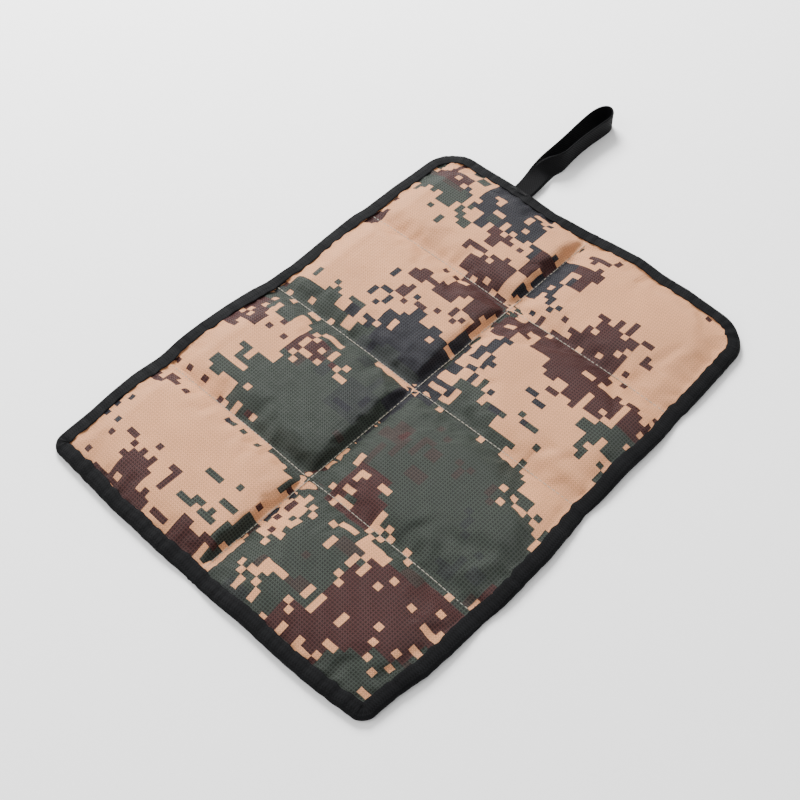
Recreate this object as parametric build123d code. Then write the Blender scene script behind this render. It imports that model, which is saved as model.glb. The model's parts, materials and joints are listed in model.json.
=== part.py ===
from build123d import *
import os

os.makedirs("parts", exist_ok=True)

# A folding padded sit mat: two columns of four quilted foam cells, taped round
# the edge, with a webbing loop sewn to the rear edge of the left column.
# Origin on the resting face, where the lengthwise seam crosses the middle cross
# seam. +X to the right column, +Y to the loop end, +Z up.

# Driving dimensions, in millimetres
mat_length = 390.0
mat_width = 284.0
rows = 4
columns = ("left", "right")
foam_height = 8.0
foam_roll = 5.0             # rounding of the foam's upper edge
cloth = 0.8                 # one cover with its lining
backing = 1.6               # bottom cover with its lining
seam_gap = 0.6              # between neighbouring cells
seam_margin = 5.0           # stitched flange from a cell's edge to its foam
tape_width = 11.0           # binding seen on each face
tape = 0.8
front_corner_radius = 9.0
rear_corner_radius = 26.0
thread_width = 0.6
thread_height = 0.5
thread_offset = 1.6         # thread's centre from the cell's edge

strap_width = 16.0
strap = 1.6
loop_reach = 108.0          # from the mat's edge to the loop's tip
loop_belly = 15.0           # outer radius of the loop's round end
loop_neck = 3.6             # across both legs where they meet
loop_clearance = 2.4        # from the binding to the strap's root, which turns between them
root_length = 13.0          # flat strap before it turns on edge
tab_length = 10.0
bartack_width = 14.0
bartack_length = 3.0
strap_lift = 0.4            # lower edge of the standing strap above the floor

cell_width = mat_width / len(columns)
cell_length = mat_length / rows
seam_height = backing + cloth
edge_height = seam_height + tape
loop_x = -cell_width / 2
loop_cell = "left_4"
tab_base = tape


def mat_outline():
    """The mat's plan, with tight front corners and wide rear corners."""
    plan = Rectangle(mat_width, mat_length)
    corners = plan.vertices().group_by(Axis.Y)
    plan = fillet(corners[-1], rear_corner_radius)
    corners = plan.vertices().group_by(Axis.Y)
    return fillet(corners[0], front_corner_radius)


def cell_window(column, row, inset):
    """The rectangle of one cell, drawn in from its seam lines."""
    centre_x = (columns.index(column) - 0.5) * cell_width
    centre_y = (row - (rows + 1) / 2) * cell_length
    return Pos(centre_x, centre_y) * Rectangle(cell_width - 2 * inset, cell_length - 2 * inset)


def slab(face, low, high):
    """A flat sheet of the face's outline between two heights."""
    return extrude(Pos(0, 0, low) * face, high - low)


def pad(face, low, high, roll):
    """A block with a rolled upper edge."""
    block = slab(face, low, high)
    return fillet(block.edges().group_by(Axis.Z)[-1], roll)


outline = mat_outline()
inside_tape = offset(outline, -tape_width)
inside_turn = offset(outline, -tape)


def loop_tab():
    """The strap's sewn ends, held between the covers inside the binding."""
    plan = Pos(loop_x, mat_length / 2 - tab_length / 2) * Rectangle(strap_width, tab_length)
    return slab(plan, tab_base, tab_base + strap)


def make_cell(column, row):
    """Foam, two covers and edge binding of one cell."""
    name = f"{column}_{row}"
    whole = outline & cell_window(column, row, seam_gap / 2)
    cover_plan = inside_turn & cell_window(column, row, seam_gap / 2)
    open_plan = inside_tape & cell_window(column, row, seam_gap / 2)
    foam_plan = offset(inside_tape, -cloth) & cell_window(column, row, seam_margin)
    crown_plan = inside_tape & cell_window(column, row, seam_margin - cloth)

    foam = pad(foam_plan, backing, backing + foam_height, foam_roll)
    crown = pad(crown_plan, backing, backing + foam_height + cloth, foam_roll + cloth)
    top = (crown + slab(cover_plan, backing, seam_height)) - foam
    bottom = slab(open_plan, 0, backing) + slab(cover_plan, tape, backing)
    covers = slab(cover_plan, tape, seam_height)
    binding = slab(whole, 0, edge_height) - slab(open_plan, 0, edge_height) - covers
    if name == loop_cell:
        top, bottom, binding = top - loop_tab(), bottom - loop_tab(), binding - loop_tab()

    export_step(foam, f"parts/foam_pad_{name}.step")
    export_step(top, f"parts/top_cover_{name}.step")
    export_step(bottom, f"parts/bottom_cover_{name}.step")
    export_step(binding, f"parts/edge_binding_{name}.step")


def thread(length, centre, angle):
    """A sewn thread lying on the flange."""
    bar = Box(thread_width, length, thread_height, align=(Align.CENTER, Align.CENTER, Align.MIN))
    return Pos(centre[0], centre[1], seam_height) * Rot(0, 0, angle) * bar


def make_stitches():
    """Threads along the lengthwise seam and along each cross seam."""
    beside = thread_offset + seam_gap / 2
    for row in range(1, rows + 1):
        centre_y = (row - (rows + 1) / 2) * cell_length
        ends = tape_width * (row in (1, rows))
        shift = (row == 1) * ends / 2 - (row == rows) * ends / 2
        run = cell_length - 2 * seam_margin - ends
        export_step(thread(run, (-beside, centre_y + shift), 0), f"parts/lengthwise_stitch_{row}.step")
    for column in columns:
        side = columns.index(column) * 2 - 1
        run = cell_width - 2 * seam_margin - tape_width
        centre_x = side * (cell_width - tape_width) / 2
        for row in range(1, rows):
            seam_y = (row - rows / 2) * cell_length - beside
            stitch = thread(run, (centre_x, seam_y), 90)
            export_step(stitch, f"parts/cross_stitch_{column}_{row}.step")


def loop_plan():
    """Plan of the loop: two legs that spread from the neck to a round end."""
    neck_y = mat_length / 2 + loop_clearance + root_length
    centre_y = mat_length / 2 + loop_reach - loop_belly
    legs = Polygon(
        (loop_x - loop_neck / 2, neck_y),
        (loop_x + loop_neck / 2, neck_y),
        (loop_x + loop_belly, centre_y),
        (loop_x - loop_belly, centre_y),
        align=None,
    )
    return Pos(loop_x, centre_y) * Circle(loop_belly) + legs


def make_loop():
    """The webbing loop, the tab that is sewn to the mat and its bar tack."""
    plan = loop_plan()
    ring = slab(plan - offset(plan, -strap), strap_lift, strap_lift + strap_width)
    near = mat_length / 2 + loop_clearance
    root = Pos(loop_x, near + root_length / 2 + strap / 2) * Rectangle(strap_width, root_length + strap)
    export_step(ring + slab(root, tab_base, tab_base + strap), "parts/loop_strap.step")
    export_step(loop_tab(), "parts/loop_tab.step")

    tack = Pos(loop_x, mat_length / 2 - tab_length / 2) * Rectangle(bartack_width, bartack_length)
    export_step(slab(tack, edge_height, edge_height + thread_height), "parts/loop_bartack.step")


for column_name in columns:
    for row_number in range(1, rows + 1):
        make_cell(column_name, row_number)
make_stitches()
make_loop()
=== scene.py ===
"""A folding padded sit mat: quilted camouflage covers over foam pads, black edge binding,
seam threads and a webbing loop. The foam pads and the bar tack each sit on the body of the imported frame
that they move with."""

import json
import math

import bpy
import numpy as np
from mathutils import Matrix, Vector, noise


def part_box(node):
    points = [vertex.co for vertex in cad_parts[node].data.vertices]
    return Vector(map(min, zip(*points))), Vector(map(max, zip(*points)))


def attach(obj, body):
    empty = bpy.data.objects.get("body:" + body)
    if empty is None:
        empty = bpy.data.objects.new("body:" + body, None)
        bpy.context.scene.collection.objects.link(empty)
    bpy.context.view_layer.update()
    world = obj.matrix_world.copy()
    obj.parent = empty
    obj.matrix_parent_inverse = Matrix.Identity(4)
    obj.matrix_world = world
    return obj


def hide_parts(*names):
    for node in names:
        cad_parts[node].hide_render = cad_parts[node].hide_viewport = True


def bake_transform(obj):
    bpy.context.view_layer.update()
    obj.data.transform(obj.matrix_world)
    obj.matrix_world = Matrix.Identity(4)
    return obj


bl_info = {
    "name": "Folding sit mat",
    "version": (1, 0, 0),
    "blender": (4, 5, 0),
    "location": "3D View > Sidebar > Sit mat",
    "description": "Makes the soft pieces of a folding padded sit mat round its packed frame",
    "category": "Object",
}

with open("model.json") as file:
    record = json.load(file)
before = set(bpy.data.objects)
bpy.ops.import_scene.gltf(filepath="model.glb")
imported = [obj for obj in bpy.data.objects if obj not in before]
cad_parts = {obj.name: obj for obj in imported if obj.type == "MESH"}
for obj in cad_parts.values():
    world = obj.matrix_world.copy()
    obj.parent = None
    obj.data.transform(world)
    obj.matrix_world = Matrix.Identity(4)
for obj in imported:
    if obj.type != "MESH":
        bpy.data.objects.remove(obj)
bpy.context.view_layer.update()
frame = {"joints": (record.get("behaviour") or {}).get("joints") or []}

MM = 0.001
JOINTS = {joint["name"]: joint for joint in frame["joints"]}
SEAMS = [JOINTS[name]["pos_m"][1] for name in ("front_fold", "middle_fold", "rear_fold")]
HALF_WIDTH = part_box("edge_binding_right_1")[1][0]
HALF_LENGTH = 2 * SEAMS[2]
LOOP_X = JOINTS["loop_swing"]["pos_m"][0]
SPINE_AXIS_Z = JOINTS["lengthwise_fold"]["pos_m"][2]
TOP_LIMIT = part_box("top_cover_left_2")[1][2]

# The covers' grid. One print block is two faces each way, and the seams fall on grid lines.
COLUMNS, ROWS = 128, 176
STEP_X = 2 * HALF_WIDTH / COLUMNS
STEP_Y = 2 * HALF_LENGTH / ROWS
CUTS = (0, 66, 110, 176)
SEAM_ROWS = (44, 88, 132)
SEAM_COLUMN = 64

# Each column's covers, binding and lengthwise thread are three lengths, cut at mid-cell.
STRETCHES = (
    ("front", 1, 2, SEAMS[0], 5 * MM, (1, 2)),
    ("middle", 2, 3, SEAMS[1], 7 * MM, (3,)),
    ("rear", 3, 4, SEAMS[2], 5 * MM, (4,)),
)

TAN, BROWN, GREEN, NAVY, FADED_BROWN, FADED_NAVY = range(6)

# The print as blocks laid one over another on tan cloth: for each colour, the left, right, lower
# and upper sides of a block in millimetres on the mat's plan.
PRINT = (
    # left column, rear cell
    (GREEN, (-142, -92, 151, 162), (-142, -137, 136, 152), (-132, -124, 146, 152), (-132, -128, 140, 152),
     (-120, -116, 145, 152), (-112, -99, 144, 152), (-94, -86, 142, 155), (-90, -85, 138, 147),
     (-86, -77, 131, 140), (-112, -108, 133, 138), (-99, -95, 126, 132), (-142, -134, 172, 186),
     (-111, -103, 186, 190), (-114, -100, 192, 195), (-119, -116, 190, 195), (-101, -91, 177, 184)),
    (BROWN, (-137, -133, 122, 129), (-131, -128, 104, 114), (-139, -136, 100, 109), (-136, -128, 97, 104),
     (-142, -136, 98, 102), (-134, -106, 164, 172), (-126, -104, 170, 177), (-126, -122, 176, 184),
     (-124, -118, 186, 191)),
    (FADED_BROWN, (-120, -100, 158, 165), (-142, -128, 162, 168)),
    (NAVY, (-90, -37, 160, 195), (-88, -77, 153, 162), (-75, -67, 140, 162), (-62, -57, 150, 160),
     (-54, -36, 150, 162), (-38, -35, 172, 195), (-38, -28, 190, 195), (-34, -30, 176, 180),
     (-100, -96, 165, 169), (-50, -38, 150, 176), (-36, -33, 155, 172)),
    (FADED_NAVY, (-72, -60, 152, 158), (-96, -90, 160, 166)),
    (TAN, (-117, -113, 170, 174), (-104, -88, 170, 177), (-92, -82, 161, 169), (-79, -71, 173, 177),
     (-75, -71, 168, 173), (-69, -61, 160, 163), (-50, -36, 181, 185), (-42, -34, 176, 182),
     (-79, -75, 148, 156), (-92, -88, 152, 158), (-88, -84, 147, 152), (-67, -62, 141, 150),
     (-58, -54, 150, 158), (-48, -44, 170, 177), (-46, -42, 158, 164), (-48, -45, 150, 154)),
    (NAVY, (-90, -86, 165, 169), (-13, -8, 156, 161), (-30, -22, 152, 155), (-26, -18, 142, 155),
     (-14, -6, 117, 122), (-13, -9, 112, 117)),
    (BROWN, (-20, -5, 142, 155), (-22, -13, 130, 142), (-60, -50, 141, 150), (-50, -45, 145, 149),
     (-47, -38, 140, 144), (-36, -32, 143, 147), (-57, -48, 131, 141), (-66, -60, 118, 130),
     (-66, -48, 124, 130), (-48, -24, 122, 130), (-34, -29, 130, 134), (-47, -24, 112, 122),
     (-56, -24, 106, 118), (-50, -26, 98, 110), (-21, -12, 102, 106), (-30, -5, 97, 101)),
    (NAVY, (-6, 0, 120, 165), (-9, -5, 128, 142)),
    (TAN, (-55, -50, 146, 149), (-13, -9, 133, 141), (-43, -39, 119, 123), (-48, -45, 124, 131),
     (-37, -33, 105, 110), (-45, -42, 102, 106)),
    # left column, third cell
    (BROWN, (-139, -130, 92, 96), (-142, -140, 85, 89), (-64, -58, 92, 95), (-53, -48, 95, 98),
     (-50, -12, 78, 92), (-42, -4, 90, 98), (-69, -60, 70, 83), (-60, -52, 74, 79), (-55, -34, 69, 84),
     (-34, -8, 76, 90), (-26, -8, 69, 80), (-33, -28, 63, 72), (-22, -18, 61, 66), (-26, -22, 57, 61),
     (-14, -8, 63, 70), (-76, -72, 73, 78), (-67, -62, 60, 64), (-71, -62, 54, 60), (-53, -46, 54, 58),
     (-62, -57, 49, 53), (-41, -37, 58, 63), (-6, 0, 78, 98)),
    (TAN, (-37, -28, 73, 78), (-32, -28, 78, 82), (-14, -9, 74, 78)),
    (GREEN, (-142, -40, 0, 9), (-124, -119, 28, 34), (-106, -102, 30, 37), (-102, -97, 28, 33),
     (-97, -92, 18, 28), (-131, -92, 8, 23), (-125, -118, 24, 29), (-106, -92, 24, 28), (-92, -78, 8, 18),
     (-88, -76, 28, 33), (-71, -50, 8, 17), (-62, -50, 12, 22)),
    (NAVY, (-83, -79, 62, 72), (-58, -53, 58, 62), (-78, -73, 48, 51), (-82, -78, 42, 47),
     (-73, -69, 42, 47), (-77, -72, 34, 37), (-48, -39, 44, 52), (-30, -20, 44, 50), (-52, -14, 38, 46),
     (-60, -2, 26, 42), (-15, -5, 44, 60), (-56, 0, 4, 30), (-71, -62, 24, 27), (-66, -63, 18, 27),
     (-84, -75, 18, 28), (-6, 0, 42, 56), (-79, -76, 10, 20)),
    (FADED_NAVY, (-50, -10, 3, 12), (-142, -132, 2, 10), (-44, -30, 10, 16), (-62, -54, 6, 12)),
    (BROWN, (-142, -131, 9, 14)),
    (TAN, (-51, -47, 33, 36), (-55, -51, 27, 33), (-28, -24, 36, 40), (-125, -121, 20, 24),
     (-78, -73, 9, 17), (-76, -67, 17, 23), (-130, -126, 5, 9), (-111, -107, 10, 14), (-90, -85, 5, 10)),
    # left column, second cell
    (GREEN, (-142, 0, -10, 0), (-90, 0, -90, 0), (-98, -85, -76, -48), (-110, -103, -55, -50),
     (-107, -98, -64, -54), (-116, -98, -76, -67), (-110, -103, -80, -76), (-128, -104, -18, -8),
     (-84, -60, -92, -76), (-60, 0, -98, -88)),
    (BROWN, (-142, -128, -46, -8), (-128, -114, -34, -18), (-130, -118, -42, -30), (-142, -122, -46, -40),
     (-110, -105, -30, -20), (-105, -101, -24, -20), (-90, -62, -30, -12), (-90, -85, -34, -17),
     (-56, -52, -26, -22), (-142, -139, -58, -54), (-142, -136, -96, -92)),
    (FADED_BROWN, (-80, -70, -38, -30), (-17, -11, -64, -58), (-66, -60, -20, -12), (-130, -122, -12, -8)),
    (FADED_NAVY, (-38, -12, -50, -22), (-26, -20, -20, -10), (-60, -53, -36, -28), (-48, -38, -8, -2)),
    (NAVY, (-24, -16, -34, -26), (-14, 0, -22, 0), (-34, -24, -44, -38)),
    (TAN, (-101, -90, -46, -17), (-90, -85, -47, -38), (-103, -99, -58, -50), (-108, -95, -67, -63),
     (-103, -88, -90, -77), (-86, -82, -77, -72), (-72, -62, -89, -84), (-79, -74, -92, -86),
     (-60, -40, -98, -92), (-121, -117, -2, 0), (-102, -93, -2, 0), (-127, -123, -9, -6),
     (-121, -117, -13, -9), (-127, -124, -16, -14), (-118, -113, -20, -14), (-104, -100, -14, -7),
     (-104, -95, -9, -7), (-97, -93, -17, -14), (-134, -131, -28, -25), (-138, -134, -33, -28),
     (-130, -127, -33, -28), (-126, -122, -40, -34), (-130, -122, -41, -37), (-109, -105, -26, -22),
     (-81, -76, -7, -4), (-73, -65, -7, -4), (-76, -73, -10, -7), (-65, -61, -11, -8),
     (-86, -83, -14, -10), (-79, -76, -18, -14), (-84, -80, -25, -18), (-71, -67, -23, -18),
     (-62, -58, -23, -15), (-80, -72, -30, -26), (-67, -63, -30, -26), (-84, -80, -34, -30),
     (-80, -77, -38, -34), (-49, -45, -23, -16), (-54, -50, -28, -24), (-45, -41, -29, -25),
     (-49, -45, -32, -29)),
    (BROWN, (-98, -93, -29, -26), (-139, -134, -89, -85), (-122, -118, -89, -85), (-110, -105, -89, -85),
     (-95, -90, -93, -90), (-70, -66, -90, -87)),
    # left column, front cell
    (BROWN, (-130, -120, -104, -98), (-128, -114, -108, -102), (-136, -126, -112, -106),
     (-139, -133, -108, -104), (-112, -108, -108, -105), (-118, -114, -160, -156), (-123, -118, -176, -171),
     (-117, -113, -189, -184), (-88, -82, -147, -143), (-110, -101, -151, -147), (-101, -96, -156, -151),
     (-91, -87, -156, -151), (-82, -78, -156, -152), (-73, -64, -151, -148), (-68, -64, -158, -151),
     (-68, -64, -166, -162), (-101, -96, -166, -161), (-96, -80, -185, -157), (-82, -77, -172, -161),
     (-109, -96, -180, -176), (-109, -104, -189, -180), (-90, -63, -195, -172), (-72, -68, -172, -167),
     (-63, -55, -195, -183), (-58, -45, -177, -173), (-40, -31, -168, -163), (-42, -18, -184, -170),
     (-58, -40, -190, -180), (-45, -18, -195, -188), (-18, -12, -185, -181), (-17, -12, -195, -190)),
    (TAN, (-91, -87, -176, -172), (-68, -64, -186, -182), (-102, -90, -190, -181), (-40, -22, -188, -184),
     (-48, -44, -195, -187)),
    (NAVY, (-142, -139, -150, -129), (-139, -135, -142, -137), (-139, -134, -150, -147),
     (-135, -132, -134, -129), (-126, -122, -152, -148), (-142, -139, -165, -160), (-76, -71, -103, -98)),
    (GREEN, (-70, -65, -101, -98), (-61, -57, -102, -98), (-49, -44, -102, -98), (-22, -8, -102, -98),
     (-14, -9, -117, -102), (-33, -28, -131, -128), (-51, -42, -139, -136), (-32, -18, -145, -141),
     (-5, 0, -134, -130), (-12, 0, -156, -139), (-18, -3, -166, -150), (-44, -36, -155, -150),
     (-54, -36, -158, -153), (-36, -20, -159, -153), (-31, -26, -155, -151), (-12, -6, -176, -160),
     (-5, 0, -112, -98)),
    (BROWN, (-20, -10, -170, -166), (-14, -9, -134, -131), (-8, -4, -110, -107)),
    (TAN, (-17, -12, -150, -141), (-40, -36, -159, -155), (-5, -1, -156, -152), (-9, -5, -164, -158)),
    # right column, rear cell
    (BROWN, (11, 16, 191, 195), (26, 31, 179, 184), (15, 27, 173, 178), (7, 11, 172, 176),
     (12, 16, 168, 173), (6, 31, 155, 166), (22, 27, 164, 170), (14, 28, 144, 156), (31, 36, 116, 120),
     (17, 22, 100, 111), (13, 30, 97, 101), (97, 101, 193, 195), (102, 107, 185, 189), (61, 66, 135, 140),
     (70, 75, 134, 145), (48, 58, 131, 135), (53, 84, 126, 131), (66, 80, 130, 135), (83, 92, 131, 135),
     (92, 97, 124, 130), (93, 103, 119, 126), (48, 80, 110, 126), (39, 50, 110, 115), (44, 84, 107, 116),
     (80, 84, 110, 120), (31, 50, 101, 105), (44, 82, 97, 108), (28, 44, 97, 103), (89, 94, 105, 110),
     (91, 95, 97, 101), (0, 6, 97, 104)),
    (NAVY, (0, 8, 128, 165), (10, 15, 126, 144), (14, 18, 120, 130), (22, 27, 121, 126),
     (18, 22, 116, 120), (15, 19, 144, 149), (9, 14, 105, 110), (0, 4, 118, 130)),
    (GREEN, (128, 132, 181, 185)),
    (TAN, (11, 18, 149, 153), (11, 15, 144, 149), (6, 10, 134, 139), (71, 75, 130, 134),
     (53, 57, 121, 126), (76, 80, 115, 120), (67, 71, 106, 110), (55, 59, 101, 105), (32, 36, 97, 100)),
    # right column, third cell
    (BROWN, (0, 90, 90, 98), (0, 20, 77, 92), (20, 50, 82, 97), (33, 47, 78, 84), (50, 90, 74, 97),
     (90, 103, 80, 90), (50, 100, 72, 80), (51, 83, 70, 74), (51, 60, 65, 70), (69, 83, 62, 72),
     (64, 69, 57, 62), (78, 83, 57, 62), (88, 104, 64, 76), (91, 102, 62, 66), (107, 113, 85, 89),
     (103, 107, 66, 82), (111, 120, 66, 82), (120, 139, 65, 78), (125, 130, 78, 82), (135, 139, 78, 86),
     (122, 127, 89, 92)),
    (TAN, (22, 30, 89, 93), (26, 30, 85, 89), (3, 12, 83, 87), (17, 21, 72, 86), (71, 79, 82, 86),
     (84, 98, 86, 89), (84, 88, 73, 77), (98, 103, 68, 72), (126, 130, 73, 77), (83, 88, 62, 70)),
    (GREEN, (112, 139, 61, 66), (101, 128, 50, 62), (92, 107, 48, 56), (101, 106, 35, 50),
     (107, 111, 44, 52), (117, 140, 45, 66), (127, 140, 33, 50), (121, 126, 35, 39), (107, 111, 31, 39),
     (126, 130, 27, 35), (135, 142, 23, 26), (28, 32, 30, 39), (60, 64, 31, 34), (70, 79, 26, 30),
     (84, 88, 16, 21), (15, 37, 22, 30), (22, 55, 0, 22), (42, 56, 21, 25), (53, 66, 0, 15),
     (66, 76, 7, 10), (66, 70, 0, 7), (86, 90, 2, 7), (8, 24, 0, 10)),
    (NAVY, (12, 21, 69, 72), (8, 16, 58, 70), (3, 13, 50, 60), (16, 20, 46, 56), (20, 24, 47, 51),
     (0, 9, 33, 42), (9, 12, 40, 46), (12, 16, 38, 42), (19, 24, 30, 38), (37, 42, 31, 35),
     (55, 60, 48, 52), (64, 69, 44, 48), (65, 70, 26, 30), (0, 15, 18, 24), (12, 16, 15, 22),
     (0, 12, 0, 14), (46, 52, 21, 25)),
    (TAN, (16, 24, 14, 24), (14, 20, 10, 14), (5, 10, 15, 19), (17, 21, 1, 5), (52, 56, 1, 6),
     (125, 130, 57, 62), (130, 135, 54, 58), (107, 126, 40, 45), (112, 117, 45, 53), (126, 130, 35, 39),
     (102, 112, 62, 65)),
    # right column, second cell
    (GREEN, (0, 142, -98, 0)),
    (TAN, (96, 142, -13, 0), (110, 142, -20, -10), (120, 142, -30, -18), (133, 142, -40, -25),
     (91, 96, -6, -1), (97, 101, -21, -18), (101, 110, -26, -22), (115, 119, -26, -22),
     (87, 91, -22, -18), (91, 96, -29, -25), (124, 129, -40, -30), (129, 133, -40, -34)),
    (GREEN, (101, 110, -21, -13), (115, 119, -22, -18), (124, 129, -30, -22), (128, 133, -32, -26),
     (133, 137, -40, -31)),
    (FADED_BROWN, (11, 22, -36, -22), (6, 28, -42, -32), (30, 38, -28, -20), (30, 36, -38, -28),
     (40, 50, -35, -25), (20, 26, -48, -38), (13, 17, -62, -44), (42, 51, -54, -46), (61, 68, -34, -26),
     (68, 73, -27, -21), (42, 46, -16, -12), (30, 34, -13, -9), (58, 63, -28, -22), (90, 94, -36, -30),
     (86, 90, -30, -24), (118, 125, -92, -84)),
    (BROWN, (12, 40, -98, -62), (40, 50, -98, -75), (125, 142, -95, -72), (135, 142, -75, -66),
     (16, 22, -34, -28)),
    (FADED_NAVY, (83, 87, -49, -45), (87, 92, -58, -48), (95, 98, -62, -56), (105, 110, -67, -62),
     (101, 106, -79, -72), (110, 120, -79, -71), (92, 100, -86, -82), (98, 106, -88, -80)),
    (TAN, (11, 15, -66, -57), (19, 27, -70, -65), (16, 19, -74, -70), (35, 40, -70, -66),
     (40, 45, -72, -70), (17, 28, -84, -80), (10, 14, -89, -84), (18, 29, -93, -88), (18, 22, -98, -93),
     (50, 54, -90, -81), (50, 59, -91, -88), (58, 62, -88, -82), (62, 67, -91, -87), (48, 51, -98, -92),
     (59, 63, -98, -91), (76, 80, -95, -91), (81, 85, -99, -95), (112, 116, -99, -95),
     (128, 132, -80, -75), (137, 142, -77, -72), (124, 133, -90, -86), (125, 129, -95, -90)),
    (GREEN, (20, 30, -88, -84)),
    # right column, front cell
    (GREEN, (0, 142, -195, -98)),
    (BROWN, (64, 108, -158, -118), (85, 142, -130, -98), (66, 85, -120, -108), (50, 90, -180, -158),
     (60, 97, -165, -150), (108, 125, -145, -120), (100, 118, -150, -140), (52, 66, -112, -100)),
    (FADED_BROWN, (35, 40, -139, -132), (42, 46, -125, -121), (45, 60, -118, -110), (30, 34, -113, -109),
     (40, 46, -157, -152), (46, 52, -153, -147), (45, 49, -187, -182), (86, 96, -106, -98),
     (18, 24, -160, -152), (124, 132, -148, -142)),
    (FADED_NAVY, (10, 34, -195, -180), (15, 30, -182, -174), (85, 100, -195, -191)),
    (NAVY, (14, 26, -192, -184), (55, 60, -190, -186), (73, 77, -192, -188), (63, 80, -195, -191)),
    (TAN, (55, 75, -112, -104), (60, 67, -116, -112), (69, 75, -106, -101), (51, 55, -113, -109),
     (52, 55, -104, -101), (42, 47, -105, -101), (36, 38, -105, -102), (30, 34, -109, -105),
     (58, 62, -122, -117), (67, 70, -124, -117), (78, 82, -124, -121), (83, 90, -115, -110),
     (104, 108, -121, -116), (114, 118, -112, -109), (129, 133, -109, -104), (123, 131, -122, -117),
     (117, 122, -126, -122), (132, 136, -142, -127), (121, 131, -137, -132), (115, 120, -145, -140),
     (119, 124, -155, -149), (97, 101, -143, -138), (102, 105, -152, -148), (105, 109, -159, -153),
     (113, 119, -163, -159), (132, 137, -165, -160), (132, 136, -170, -166), (121, 131, -179, -175),
     (134, 138, -151, -147), (57, 64, -135, -131), (60, 64, -139, -135), (41, 46, -122, -117),
     (55, 59, -154, -148), (63, 67, -153, -148), (79, 83, -153, -148), (62, 66, -161, -158),
     (47, 50, -162, -158), (51, 54, -168, -162), (83, 91, -167, -162), (57, 61, -184, -171),
     (52, 60, -186, -182), (69, 82, -183, -177), (73, 77, -188, -171), (82, 85, -178, -172),
     (60, 72, -190, -186), (77, 82, -191, -187), (44, 49, -181, -177), (36, 40, -190, -186),
     (55, 63, -195, -190), (23, 39, -156, -152), (23, 30, -161, -156), (18, 26, -166, -161),
     (13, 17, -170, -165), (26, 30, -170, -166), (17, 21, -176, -170), (29, 33, -177, -170),
     (11, 15, -146, -142), (8, 12, -118, -112), (7, 19, -130, -126), (12, 17, -122, -118),
     (16, 21, -117, -112), (13, 17, -112, -109), (7, 12, -138, -128), (8, 16, -138, -134),
     (0, 8, -140, -108), (6, 11, -109, -103), (7, 10, -166, -160), (6, 9, -185, -180),
     (0, 4, -195, -188)),
    (BROWN, (2, 5, -128, -124), (3, 7, -137, -132), (0, 3, -118, -113)),
)


# How many blocks the whole print is shifted forwards and to the right.
PRINT_SHIFT = 1


class SitMatSizes(bpy.types.PropertyGroup):
    """Sizes of the soft pieces."""

    cloth: bpy.props.FloatProperty(
        name="Cloth", description="Thickness of a cover", default=0.5 * MM, unit="LENGTH")
    left_height: bpy.props.FloatProperty(
        name="Left cushion", description="Top of the left column's cells above the ground",
        default=TOP_LIMIT - 0.3 * MM, unit="LENGTH")
    right_height: bpy.props.FloatProperty(
        name="Right cushion", description="Top of the right column's cells above the ground",
        default=TOP_LIMIT - 1.0 * MM, unit="LENGTH")
    tape_width: bpy.props.FloatProperty(
        name="Binding width", description="Width of binding seen from above",
        default=10 * MM, unit="LENGTH")
    tape_height: bpy.props.FloatProperty(
        name="Binding height", description="Height of the bound edge at mid-cell",
        default=5.6 * MM, unit="LENGTH")
    strap_width: bpy.props.FloatProperty(
        name="Strap width", description="Width of the loop's webbing",
        default=16 * MM, unit="LENGTH")
    weave: bpy.props.FloatProperty(
        name="Weave", description="Distance from yarn to yarn in the cover cloth",
        default=0.9 * MM, unit="LENGTH")
    ridge: bpy.props.FloatProperty(
        name="Ridge", description="Distance between the raised lines in the cover cloth",
        default=2.0 * MM, unit="LENGTH")


class SitMatColours(bpy.types.PropertyGroup):
    """Colours of the cloth, binding and thread."""

    tan: bpy.props.FloatVectorProperty(
        name="Tan", description="Ground of the print", subtype="COLOR", size=3,
        default=(0.60, 0.280, 0.135))
    brown: bpy.props.FloatVectorProperty(
        name="Brown", description="Brown of the print", subtype="COLOR", size=3,
        default=(0.0260, 0.0045, 0.0035))
    green: bpy.props.FloatVectorProperty(
        name="Green", description="Green of the print", subtype="COLOR", size=3,
        default=(0.0145, 0.0190, 0.0140))
    navy: bpy.props.FloatVectorProperty(
        name="Navy", description="Dark blue of the print", subtype="COLOR", size=3,
        default=(0.0040, 0.0038, 0.0070))
    tape: bpy.props.FloatVectorProperty(
        name="Binding", description="Colour of the edge binding", subtype="COLOR", size=3,
        default=(0.0036, 0.0037, 0.0041))
    webbing: bpy.props.FloatVectorProperty(
        name="Webbing", description="Colour of the loop", subtype="COLOR", size=3,
        default=(0.0030, 0.0030, 0.0034))
    thread: bpy.props.FloatVectorProperty(
        name="Thread", description="Colour of the seam thread", subtype="COLOR", size=3,
        default=(0.36, 0.33, 0.27))
    foam: bpy.props.FloatVectorProperty(
        name="Foam", description="Colour of the pads inside", subtype="COLOR", size=3,
        default=(0.72, 0.72, 0.68))


def sizes():
    """The sizes set in the panel."""
    return bpy.context.scene.sit_mat_sizes


def colours():
    """The colours set in the panel."""
    return bpy.context.scene.sit_mat_colours


# ---------------------------------------------------------------- shape of the quilting

def bump(distance, reach):
    """0 at a seam, rising smoothly to 1 past its reach."""
    return 1 - np.exp(-((distance / reach) ** 2))


def seam_distance(y):
    """How far y is from the nearest cross seam."""
    return np.min([np.abs(y - seam) for seam in SEAMS], axis=0)


def wander(x, y, scale, seed):
    """Smooth noise from about -1 to 1 at each point."""
    places = zip(np.ravel(x), np.ravel(y))
    values = [noise.noise(Vector((a / scale, b / scale, seed))) for a, b in places]
    return np.array(values).reshape(np.shape(x))


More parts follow.
